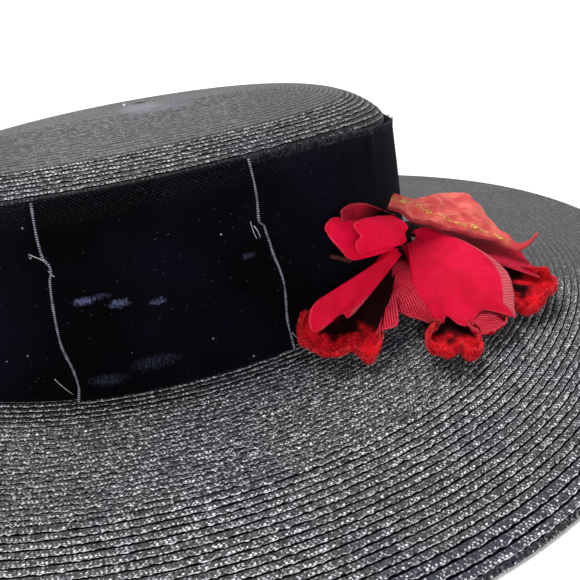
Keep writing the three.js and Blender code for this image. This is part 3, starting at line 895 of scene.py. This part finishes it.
def make_crown(material):
    shell = BraidShell(CROWN_STEPS)
    dome, wide_half = crown_dome_place(0.0)
    edges, grooves = row_edges(((0.0, CROWN_ROW, CROWN_GROOVE),), wide_half)
    shell.add_rows(edges, grooves, dome, ROW_SHAPE, CROWN_UNEVEN)
    shell.lifts = [lift + start_relief(places) for lift, places in zip(shell.lifts, shell.places)]
    side, depth = crown_side_place(0.0)
    rim, wall = dome(wide_half, shell.angles), side(0.0, shell.angles)
    shell.add_rows([0.0, 1.0], [CROWN_GROOVE],
                   lambda share, angles: rim + (wall - rim) * share[:, None], ROW_SHAPE, 0.0)
    edges, grooves = row_edges(((0.0, SIDE_ROW, CROWN_GROOVE),), depth)
    shell.add_rows(edges, grooves, side, PLAIN_ROW_SHAPE, CROWN_UNEVEN)
    inner_side, depth = crown_side_place(STRAW_THICK)
    edges, grooves = row_edges(((-depth, SIDE_ROW, UNDER_GROOVE),), 0.0)
    shell.add_rows(edges, grooves, lambda distance, angles: inner_side(-distance, angles),
                   PLAIN_ROW_SHAPE, CROWN_UNEVEN)
    inner_dome, wide_half = crown_dome_place(STRAW_THICK)
    edges, grooves = row_edges(((-wide_half, CROWN_ROW, UNDER_GROOVE),), 0.0)
    shell.add_rows(edges, grooves, lambda distance, angles: inner_dome(-distance, angles),
                   PLAIN_ROW_SHAPE, CROWN_UNEVEN)
    shell.add_ring(inner_dome(np.zeros_like(shell.angles), shell.angles), 0.0, 0.0)
    crown = shell.build("crown_braid", material, closed=False)
    return settle(crown, "straw", "crown")


# The velvet band and tab

def velvet_wave(angle, height):
    """Slow swells of the velvet, all outwards."""
    swell = (np.sin(7 * angle + 60 * height) + np.sin(11 * angle - 95 * height + 2)
             + np.sin(4 * angle + 140 * height + 4))
    return 0.00018 * (1 + swell / 3)


def band_point(angle, height, out=0.0):
    """A point that far outside the band's outer face."""
    bulge = BAND_STAND_OFF * (height / SIDE_HEIGHT) * np.cos(angle) ** 2
    crease = 0.0012 * np.exp(-((angle + 0.63) / 0.03) ** 2) * np.clip((height - 0.045) / 0.017, 0, 1)
    radius = FOOT_RADIUS - SIDE_LEAN * height / SIDE_HEIGHT + bulge + velvet_wave(angle, height) + crease
    place = oval_point(radius + out, height, angle, BAND_DIP)
    place[..., 2] -= BAND_FAR_DIP * np.maximum(0, np.sin(angle)) ** 2 * height / SIDE_HEIGHT
    return place


def make_band(material):
    angles = np.linspace(-math.pi, math.pi, BAND_STEPS, endpoint=False)
    half = VELVET_THICK / 2
    profile = [(height, 0.0) for height in np.linspace(GAP, SIDE_HEIGHT - half, BAND_RINGS)]
    for turn in np.linspace(math.pi / 8, math.pi * 7 / 8, 7):
        profile.append((SIDE_HEIGHT - half + half * math.sin(turn), -half + half * math.cos(turn)))
    profile += [(height, -VELVET_THICK) for height in np.linspace(SIDE_HEIGHT - half, GAP, 12)]
    uneven = slow_wave(angles, 0.0004, 24)
    rings = []
    for height, out in profile:
        rise = height + uneven * max(0, height / SIDE_HEIGHT - 0.8)
        rings.append(band_point(angles, rise, out))
    rings = np.array(rings)
    faces, j, k, _ = ring_faces(len(profile), BAND_STEPS, True)
    up = np.array([1000 * (height - out) for height, out in profile] + [0.0])
    step = 1000 * 2 * math.pi * FOOT_RADIUS / BAND_STEPS
    left, right = k * step, (k + 1) * step
    corners = square_corners((left, up[j]), (right, up[j]), (right, up[j + 1]), (left, up[j + 1]))
    band = cloth_object("band_velvet", rings.reshape(-1, 3), faces, corners, material)
    return settle(band, "velvet", "band")


def tab_edge(rows, height):
    route = smooth_route(rows, 240)
    return np.radians(np.interp(height, route[:, 0], route[:, 1]))


def tab_coordinates(angle, height):
    """Millimetres along and up the tab."""
    return np.stack([1000 * TAB_RADIUS * angle, 1000 * height], -1)


def make_tab(material):
    heights = np.linspace(GAP, SIDE_HEIGHT, 60)[:, None]
    left = tab_edge(TAB_LEFT_EDGE, heights)
    right = tab_edge(TAB_RIGHT_EDGE, heights)
    shares = np.linspace(0, 1, 96)[None, :]
    angle = left + (right - left) * shares
    height = heights + 0 * shares
    middle = band_point(angle, height, GAP + TAB_THICK / 2)
    tab = sheet_object("tab_velvet", middle, TAB_THICK, tab_coordinates(angle, height), material)
    return settle(tab, "velvet", "tab")


def make_tab_cord(name, rows, material):
    """The ribbed woven edge down one side of the tab."""
    route = smooth_route(rows, 620)
    places = band_point(np.radians(route[:, 1]), route[:, 0], GAP + TAB_THICK + CORD_RADIUS * 0.4)
    length = np.concatenate([[0], np.cumsum(np.linalg.norm(np.diff(places, axis=0), axis=1))])
    frayed = 0.8 + 0.2 * np.sin(length / 0.0043) * np.sin(length / 0.0017 + 1)
    radii = CORD_RADIUS * frayed * (1 + 0.3 * np.sin(2 * math.pi * length / CORD_RIB))
    cord = tube_object(name, [(places, radii, 8)], material)
    return settle(cord, "velvet")


# Loose thread ends on the tab: direction in degrees, height and distance out.
LOOSE_THREADS = (
    ((-109.6, 0.0448, 0.0017), (-110.6, 0.0462, 0.0024), (-111.6, 0.0472, 0.0026),
     (-112.3, 0.0478, 0.0022), (-112.6, 0.0470, 0.0018), (-112.2, 0.0464, 0.0022),
     (-111.9, 0.0471, 0.0026)),
    ((-109.6, 0.0421, 0.0018), (-109.0, 0.0412, 0.0026), (-108.5, 0.0403, 0.0024)),
    ((-112.6, 0.0085, 0.0018), (-111.9, 0.0073, 0.0022), (-110.9, 0.0055, 0.0024),
     (-109.8, 0.0030, 0.0018)),
    ((-72.2, 0.0441, 0.0022), (-72.2, 0.0420, 0.0026), (-71.9, 0.0397, 0.0024), (-71.5, 0.0384, 0.0018)),
    ((-71.6, 0.0425, 0.0019), (-71.2, 0.0407, 0.0024), (-70.9, 0.0386, 0.0022)),
    ((-68.3, 0.0058, 0.0018), (-67.6, 0.0037, 0.0022), (-66.6, 0.0022, 0.0016)),
)


def make_loose_threads(material):
    tubes = []
    for rows in LOOSE_THREADS:
        route = smooth_route(rows, 14)
        places = band_point(np.radians(route[:, 0]), route[:, 1], route[:, 2])
        radii = np.linspace(0.00017, 0.0001, len(places))
        tubes.append((places, radii, 6))
    return settle(tube_object("tab_loose_threads", tubes, material), "velvet")


def make_band_fringe(material):
    """Short pile fibres along the band's top edge, thickest to the right of the tab."""
    count = 2600
    angle = random.uniform(-math.pi, math.pi, count)
    crowded = random.uniform(math.radians(-72), math.radians(-36), count // 2)
    angle = np.concatenate([angle, crowded])
    height = SIDE_HEIGHT - random.uniform(0.0, 0.0026, len(angle))
    roots = band_point(angle, height, -0.0001)
    length = random.uniform(0.0006, 0.0016, len(angle))
    tips = band_point(angle + random.normal(0, 0.006, len(angle)), height + length * 0.7, length * 0.45)
    return settle(fibres_object("band_top_fibres", roots, tips, 0.00005, material), "velvet")


# The spray

# From the top of the spray down. Millimetres: the heel and tip set each petal's own plane, which
# is then rolled by some degrees and set back along its normal. Then the arch in its middle, the
# cup of its sides, its ruffle, its crinkles, and the radius and turn of its curled rim.
PETAL_COLUMNS = ("name", "heel", "tip", "roll", "back", "waist", "arch", "cup", "ruffle", "lobes",
                 "crinkle", "curl", "curl_turn")
PETAL_ROWS = (
    ("satin_petal", (98, -41, 32), (103, -83, 19), 2, 0.0, 2.0, 3.5, -1.5, 0.5, 2.6, 0.15, 0.0, 0),
    ("leaf", (94, -32, 49), (136, -49, 24), 16, -1.0, 1.2, 1.5, -0.5, 0.3, 2.0, 0.25, 0.0, 0),
    ("bud_front_petal", (93, -46, 37), (67, -68, 49), -82, -1.5, 1.5, 2.5, -3.0, 0.2, 2.0, 0.1, 0.0, 0),
    ("bud_back_petal", (93, -46, 41), (69, -64, 57), -84, 2.5, 1.5, -1.0, 1.5, 0.4, 2.0, 0.2, 0.0, 0),
    ("bud_outer_petal", (89, -50, 35), (60, -69, 53), -76, 0.5, 1.5, 1.5, -1.5, 0.2, 2.0, 0.15, 0.0, 0),
    ("long_petal", (90, -51, 33), (47, -91, 32), -55, 0.0, 1.2, 1.0, -3.0, 0.3, 2.0, 0.12, 0.0, 0),
    ("lower_left_petal", (87, -53, 30), (49, -91, 21), -14, 1.0, 1.5, 1.0, 0.0, 1.5, 2.7, 0.45, 1.3, 120),
    ("triangle_petal", (90, -47, 28), (68, -84, 22), 20, 0.8, 1.2, 1.0, -1.5, 0.2, 2.0, 0.15, 0.0, 0),
    ("woven_petal", (95, -37, 27), (82, -82, 19), -17, -2.0, 1.5, 2.5, -2.0, 0.2, 2.0, 0.15, 0.0, 0),
    ("fold_petal", (103, -47, 24), (106, -93, 15), -4, 0.0, 1.5, 1.5, 0.5, 0.5, 2.0, 0.3, 0.9, 120),
    ("curl_petal", (98, -52, 18), (89, -101, 16), -15, 0.0, 1.5, -1.0, 0.0, 1.1, 2.4, 0.4, 1.7, 150),
    ("back_petal", (97, -38, 34), (140, -64, 17), -5, 0.3, 1.5, 0.5, 0.0, 0.3, 2.0, 0.2, 0.0, 0),
    ("right_petal", (104, -39, 25), (137, -71, 15), 4, 0.5, 1.5, -1.0, 0.0, 1.4, 3.1, 0.5, 1.7, 140),
)
PETALS = {row[0]: dict(zip(PETAL_COLUMNS, row)) for row in PETAL_ROWS}

# Each petal's cut edge, round from one side to the other: direction from its heel in degrees,
# and reach in millimetres.
PETAL_EDGES = {
    "satin_petal": (
        (128, 3.5), (75, 4.5), (40, 8.5), (30, 16), (28, 24), (27.3, 28.8), (25.3, 36), (22, 40.6),
        (18.6, 41.5), (16.6, 45.7), (13.8, 44.9), (11.3, 42.2), (9.1, 46.8), (6.3, 48.8), (2.5, 48),
        (-1.5, 45.6), (-5.5, 45.2), (-9.4, 50.2), (-11.6, 54), (-14, 52), (-16.8, 49.6), (-22, 46),
        (-27.6, 42.6), (-34.3, 38.8), (-39.7, 34.6),
        (-47, 28.9), (-55.7, 22.3), (-62, 18), (-70.8, 15), (-80, 13), (-98, 9.3), (-112, 7), (-122, 5),
        (-150, 3.5)),
    "bud_front_petal": (
        (70, 4), (50.4, 8.4), (29.8, 14.1), (18.5, 21.6), (12, 29.8), (8.6, 34), (5.5, 34.4), (2.8, 32.4),
        (0.6, 31.6), (-2.4, 33.8), (-6, 33.6), (-10, 30.8), (-12.8, 26.9), (-16.9, 17.2), (-33, 7.3)),
    "bud_back_petal": (
        (40, 4), (23.4, 7.6), (16.5, 14.1), (13.2, 19.7), (10.5, 23.4), (6.4, 28.9), (3.3, 32.6), (0, 34.7),
        (-5.3, 34.4), (-10, 30), (-16, 20), (-25, 8)),
    "bud_outer_petal": (
        (30, 8), (18, 20), (11.8, 29.9), (9.8, 34.6), (6.8, 37.7), (3.5, 39.5), (0.6, 39.1), (-3.3, 36.8),
        (-7.1, 33.7), (-10.4, 30.8), (-13.7, 29.4), (-17.1, 25.6), (-18.7, 21.2), (-20, 12), (-30, 5)),
    "long_petal": (
        (30, 5), (11.2, 12.9), (7, 25.1), (6.2, 36.1), (6.2, 46.5), (6.1, 51.9), (4.6, 56.3), (1.9, 59.8),
        (0, 61.1), (-1.6, 60), (-2.4, 55), (-2.9, 48), (-4.2, 44), (-6.3, 43.9), (-8, 40.1), (-8.9, 30.8),
        (-9.3, 22.4), (-9, 10)),
    "lower_left_petal": (
        (12, 15), (15.5, 31), (18.5, 39), (19.6, 43.8), (17.2, 47.4), (14.2, 51), (10.9, 53.4), (8.1, 52.9),
        (5.5, 53.8), (1.6, 54.3), (-4.2, 54.2), (-6.4, 51.1), (-8.3, 48.6), (-10.9, 49.2), (-13.8, 51.2),
        (-15.9, 49.5), (-17.3, 45.2), (-17.6, 40), (-17, 32), (-14, 18)),
    "triangle_petal": (
        (6, 12), (4.5, 30), (5, 39), (5.8, 45.9), (0.9, 45.4), (-3.9, 45), (-10.6, 43.3), (-8.6, 37),
        (-7, 28), (-7, 12)),
    "woven_petal": (
        (19, 10), (17.4, 23.1), (16, 29.8), (12.4, 36.7), (8.3, 41.6), (3.2, 45.2), (-1.8, 47), (-5.8, 47.5),
        (-9, 45.4), (-12, 38), (-14, 25), (-18, 10)),
    "fold_petal": (
        (12, 12), (9, 34), (8.6, 41.5), (7.4, 45.3), (4, 46.8), (-0.3, 46.9), (-5, 45.6), (-9, 43.4),
        (-11.6, 40), (-12, 30), (-14, 12)),
    "curl_petal": (
        (4, 14), (3.5, 30), (4.8, 34.4), (8, 38.5), (10, 42), (10.6, 46), (9.2, 49.2), (7.2, 50.6),
        (5.2, 52.3), (3.4, 52.9), (1, 52.6), (-1.2, 50.6), (-2.3, 53.3), (-5.2, 52.9), (-8.2, 50.7),
        (-11.8, 46.4), (-13.6, 42), (-15.4, 38), (-15, 30), (-12, 14)),
    # The back petal's outline reaches out by its heel into the dark gap under the leaf, where its cloth is
    # painted near-black as shade.
    "back_petal": (
        (116, 12), (88, 14), (68, 9.5), (50, 4), (30, 1.5), (8, 3), (5, 20), (4.4, 49.8), (0.9, 50),
        (-8.2, 48.1), (-15, 46.5), (-22.8, 46), (-28, 43), (-34, 38.5), (-42, 33.5), (-52, 28),
        (-64, 22.5), (-80, 18.5), (-101, 12), (-121, 5)),
    "right_petal": (
        (20, 14), (21.5, 34), (22.3, 41.5), (25, 44.6), (24.6, 47.2), (21.8, 49.1), (17.6, 50),
        (13.5, 50.2), (9.6, 49.8), (3.6, 50.3), (-3.4, 49.4), (-9.4, 47.4), (-10.6, 44.6),
        (-8.6, 40.5), (-7, 35), (-6, 14)),
}

# The leaf is measured across its length. Millimetres: along from its heel, and its lower and
# upper sides there.
LEAF_STATIONS = (
    (-6.5, 12.5, 9.5), (-1.5, 10.8, 1.5), (5.4, 11.0, -0.5), (10.5, 11.2, -3.0), (14.6, 10.6, -8.0),
    (18.1, 9.6, -14.0), (22.2, 9.6, -21.5), (26, 8.8, -26.5), (29.9, 7.6, -26.5), (34.6, 6.2, -21.0),
    (39, 5.4, -16.0), (44.9, 4.8, -7.4), (49.4, 4.8, -3.0), (52.7, 5.0, 0.2), (56, 1.5, -1.5),
    (57.8, -3.0, -5.9),
)
LEAF_RIB = ((-2.0, 6.0), (6, 2.5), (14, 2.5), (22, 3.0), (31, 2.2), (39, 1.2), (45, 1.5), (57.8, 0.5))
PETAL_CLOTH = 0.0005
PILE_CLOTH = 0.001
PETAL_STEPS = 72
CURL_FROM = 0.66


def petal_frame(petal):
    """The heel, and the directions along the petal, across it and out of its face."""
    heel, tip = np.array(petal["heel"]) / 1000, np.array(petal["tip"]) / 1000
    along = unit(tip - heel)
    across = unit(np.cross(along, [0.0, 0.0, 1.0]))
    roll = math.radians(petal["roll"])
    across = math.cos(roll) * across + math.sin(roll) * np.cross(along, across)
    out = np.cross(across, along)
    return heel - petal["back"] / 1000 * out, along, across, out


def leaf_surface(u, v):
    """The leaf's middle surface, u from heel to tip and v from its lower to its upper side; and
    its place in millimetres from its midrib and along."""
    heel, along, across, out = petal_frame(PETALS["leaf"])
    stations = smooth_route(LEAF_STATIONS, 300)
    shares = np.linspace(0, 1, 300)
    forward = np.interp(u, shares, stations[:, 0])
    low, high = (np.interp(u, shares, stations[:, i]) for i in (1, 2))
    nibble = 0.25 * np.sin(55 * u + 2) * np.sin(131 * u)
    sideways = low + nibble + (high - low) * v
    rib = np.interp(forward, *zip(*LEAF_RIB))
    from_rib = sideways - rib
    lift = (-0.1 * np.abs(from_rib) + 0.5 * np.sin(forward / 3.1) * from_rib / 9
            + 0.35 * np.sin(forward / 1.7 + sideways / 2.3) - 0.02 * np.maximum(0, -from_rib) ** 1.5
            + 5.0 * np.clip((forward - 50) / 8, 0, 1) ** 2)
    place = heel + (forward[..., None] * along + sideways[..., None] * across + lift[..., None] * out) / 1000
    return place, np.stack([from_rib, forward], -1)


def petal_surface(name, u, v):
    """The petal's middle surface, u from heel to rim and v round the rim; and its place in
    millimetres across and along."""
    if name == "leaf":
        return leaf_surface(u, v)
    petal = PETALS[name]
    heel, along, across, out = petal_frame(petal)
    edge = smooth_route(PETAL_EDGES[name], 400)
    shares = np.linspace(0, 1, 400)
    turn = np.radians(np.interp(v, shares, edge[:, 0]))
    nibble = 0.18 * np.sin(61 * v + 3) * np.sin(143 * v + 1)
    reach = np.interp(v, shares, edge[:, 1]) + nibble
    side = 2 * v - 1
    middle = np.sqrt(np.maximum(0, 1 - side ** 4))
    curl = petal["curl"] * (0.15 + 0.85 * middle)
    inner = np.minimum(u / CURL_FROM, 1) if petal["curl"] else u
    theta = np.maximum(0, u - CURL_FROM) / (1 - CURL_FROM) * math.radians(petal["curl_turn"])
    distance = inner * (reach - curl) + curl * np.sin(theta)
    wave = math.pi * petal["lobes"] * side
    crinkles = np.sin(2.3 * wave + 6 * u + 1) + 0.7 * np.sin(3.9 * wave - 8 * u)
    lift = (petal["arch"] * 4 * inner * (1 - inner) + petal["cup"] * side ** 2 * inner
            + petal["ruffle"] * np.sin(wave + 0.6) * inner ** 5 * middle + curl * (1 - np.cos(theta))
            + petal["crinkle"] * crinkles * inner ** 4 * middle)
    forward = distance * np.cos(turn)
    sideways = distance * np.sin(turn) - petal["waist"] * side * (1 - inner)
    place = heel + (forward[..., None] * along + sideways[..., None] * across + lift[..., None] * out) / 1000
    return place, np.stack([sideways, forward], -1)


def petal_grid():
    return np.meshgrid(np.linspace(0.02, 1, PETAL_STEPS), np.linspace(0, 1, PETAL_STEPS), indexing="ij")


def make_petal(name, material, slot, thick):
    u, v = petal_grid()
    middle, cloth = petal_surface(name, u, v)
    piece = sheet_object(name + "_cloth", middle, thick, cloth, material)
    rim = nearest_rim(middle)
    if name == "leaf":
        rim[..., 1] = v * 1000 * np.linalg.norm(middle[:, -1:] - middle[:, :1], axis=-1)
    add_rim_map(piece, np.vstack([rim.reshape(-1, 2)] * 2))
    return settle(piece, slot, name)


def nearest_rim(middle):
    """Where the cut edge comes nearest to each grid point, as millimetres along it, and how far
    away that is."""
    edge = middle[-1]
    steps = np.linalg.norm(np.diff(edge, axis=0), axis=-1)
    length = np.concatenate([[0.0], np.cumsum(steps)])
    places = np.linspace(0, length[-1], 600)
    route = np.stack([np.interp(places, length, edge[:, axis]) for axis in range(3)], -1)
    gaps = np.linalg.norm(middle[:, :, None] - route, axis=-1)
    return 1000 * np.stack([places[gaps.argmin(-1)], gaps.min(-1)], -1)


def add_rim_map(piece, places):
    """Rim coordinates: millimetres along the cut edge, and in from it."""
    mesh = piece.data
    layer = mesh.uv_layers.new(name="rim")
    corners = np.empty(len(mesh.loops), np.int32)
    mesh.loops.foreach_get("vertex_index", corners)
    layer.data.foreach_set("uv", places[corners].astype(np.float32).ravel())


def make_petal_fibres(name, material, slot, count, length, all_over=False):
    """Fibres along the cut edge, or standing all over the curled rim of a velvet petal."""
    share = random.uniform(0.1, 0.9, count) if all_over else random.uniform(0, 1, count)
    near = 1 - random.uniform(0, 1 - CURL_FROM if all_over else 0.015, count)
    roots, _ = petal_surface(name, near, share)
    inward, _ = petal_surface(name, near - 0.04, share)
    beside, _ = petal_surface(name, near, share + 0.002)
    outward = unit(roots - inward)
    if all_over:
        face = unit(np.cross(outward, beside - roots))
        outward = face * random.choice([-1, 1], (count, 1)) + 0.3 * outward
        roots = roots + 0.3 * PILE_CLOTH * unit(outward)
    spread = random.normal(0, 0.4, (count, 3))
    tips = roots + unit(outward + spread) * length * random.uniform(0.5, 1.2, (count, 1))
    fibres = fibres_object(name + "_fibres", roots, tips, 0.00006, material)
    return settle(fibres, slot)


def make_spray():
    crimson, wine = (0.8, 0.003, 0.045), (0.6, 0.001, 0.022)
    satin = petal_look("crimson_satin", (0.95, 0.003, 0.056), (0.74, 0.001, 0.03), 0.75, 0.2)
    bordered = petal_look("crimson_bordered_satin", (0.7, 0.003, 0.042), (0.52, 0.001, 0.02), 0.75, 0.2,
                          border=SATIN_BORDER)
    ribbed = petal_look("crimson_ribbed_satin", crimson, wine, 0.75, 0.2, border=LONG_BORDER)
    dull = petal_look("crimson_dull_satin", (0.46, 0.003, 0.028), (0.25, 0.001, 0.012), 0.8, 0.3, heart=17.0)
    twill = petal_look("crimson_twill", (0.5, 0.003, 0.026), (0.3, 0.001, 0.012), 1.5, 0.95, heart=18.0)
    bright, deep = (0.76, 0.01, 0.02), (0.26, 0.001, 0.006)
    red_fibre = thread_look("red_fibres", (0.92, 0.09, 0.11), (0.6, 0.005, 0.012))
    plain = {"satin_petal": bordered, "bud_front_petal": satin, "bud_back_petal": dull,
             "bud_outer_petal": satin, "long_petal": ribbed, "back_petal": dull, "fold_petal": twill,
             "triangle_petal": twill, "woven_petal": twill}
    for name, material in plain.items():
        make_petal(name, material, "petal_satin", PETAL_CLOTH)
        make_petal_fibres(name, red_fibre, "petal_satin", count=420, length=0.0006)
    for name, lit_from in (("lower_left_petal", 42.0), ("curl_petal", 41.0), ("right_petal", 40.0)):
        pile = pile_look(name + "_pile", bright, deep, lit_from)
        make_petal(name, pile, "petal_velvet", PILE_CLOTH)
        make_petal_fibres(name, red_fibre, "petal_velvet", count=4200, length=0.0008, all_over=True)
    make_petal("leaf", leaf_look(), "leaf_cloth", PETAL_CLOTH)
    make_petal_fibres("leaf", red_fibre, "leaf_cloth", count=300, length=0.0005)


STEM_FROM = (0.0597, -0.0702, 0.0450)
STEM_TO = (0.0672, -0.0650, 0.0395)


def make_stem(material):
    route = smooth_route((STEM_FROM, (0.0632, -0.0675, 0.0425), STEM_TO), 24)
    radii = 0.0008 * (1 + 0.12 * np.sin(np.arange(24) * 2.1))
    return settle(tube_object("stem_wire", [(route, radii, 10)], material), "stem", "stem")


# Floor, light and camera

def make_stage():
    floor_look = Look("pale_floor")
    mottle = floor_look.noise(floor_look.place(), 3.0)
    shade = floor_look.mix(mottle, (0.9, 0.9, 0.9), (0.93, 0.93, 0.93))
    material = floor_look.finish(Base_Color=shade, Roughness=0.9, Specular_IOR_Level=0.1)
    half = 4.0
    mesh = bpy.data.meshes.new("floor")
    corners = [(-half, -half, 0), (half, -half, 0), (half, half, 0), (-half, half, 0)]
    mesh.from_pydata(corners, [], [(0, 1, 2, 3)])
    mesh.materials.append(material)
    floor = placed("floor", mesh)

    world = bpy.data.worlds.new("studio")
    world.use_nodes = True
    background = world.node_tree.nodes["Background"].inputs
    background["Color"].default_value = (1.0, 1.0, 1.0, 1.0)
    background["Strength"].default_value = 0.44
    bpy.context.scene.world = world
    bpy.context.scene.view_settings.view_transform = "Standard"

    light = bpy.data.lights.new("overhead", "SUN")
    light.energy = 2.45
    light.angle = math.radians(24)
    placed("overhead", light).rotation_euler = (math.radians(-18), math.radians(-12), 0)


def make_softbox(name, place, target, size, power):
    light = bpy.data.lights.new(name, "AREA")
    light.shape = "RECTANGLE"
    light.size, light.size_y = size
    light.energy = power
    lamp = placed(name, light)
    lamp.location = place
    aim = Vector(target) - Vector(place)
    lamp.rotation_mode = "QUATERNION"
    lamp.rotation_quaternion = aim.to_track_quat("-Z", "Y")


def make_camera():
    camera_data = bpy.data.cameras.new("camera")
    camera_data.lens = CAMERA_LENS
    camera_data.sensor_width = CAMERA_SENSOR
    camera_data.clip_start = 0.01
    camera = placed("camera", camera_data)
    turn = (Matrix.Rotation(-CAMERA_TURN, 4, "Z") @ Matrix.Rotation(math.pi / 2 - CAMERA_TILT, 4, "X")
            @ Matrix.Rotation(-CAMERA_ROLL, 4, "Z"))
    camera.matrix_world = Matrix.Translation(CAMERA_PLACE) @ turn
    bpy.context.scene.camera = camera


make_camera()
make_stage()
make_softbox("back", (0.15, 0.5, 0.7), target=(0, -0.05, 0.03), size=(0.5, 0.3), power=3)
make_softbox("front", (-0.2, -0.95, 0.33), target=(0.06, -0.06, 0.04), size=(0.4, 0.25), power=4)

make_brim_edge(straw_look("edge_straw", (0.05, 0.05, 0.053), -0.03, bold_rows=(-1, 9)))
# On the brim, bold rows 0 to 5 lie at the band's foot; their darker colour is painted shade.
make_brim(straw_look("brim_straw", (0.062, 0.062, 0.065), -0.03, faint_rows=(7, 26),
                     blue_rows=(43, 45), bold_rows=(0, 5)))
make_crown(straw_look("crown_straw", (0.086, 0.086, 0.089), 1.0, calm_rows=(0, 30),
                      bold_rows=(31, 80), marks=CROWN_MARKS))

make_band(velvet_look("band_velvet"))
make_tab(velvet_look("tab_velvet", TAB_MARKS))
cord_thread = cord_look("tab_edge_thread", (0.36, 0.35, 0.43), (0.03, 0.03, 0.045), CORD_RIB)
make_tab_cord("tab_cord_left", TAB_LEFT_EDGE, cord_thread)
make_tab_cord("tab_cord_right", TAB_RIGHT_EDGE, cord_thread)
make_loose_threads(thread_look("loose_thread", (0.5, 0.49, 0.5), (0.25, 0.25, 0.28)))
make_band_fringe(thread_look("band_fibres", (0.1, 0.1, 0.13), (0.01, 0.01, 0.02)))

make_spray()
make_stem(thread_look("stem_paper", (0.07, 0.007, 0.005), (0.015, 0.002, 0.002)))
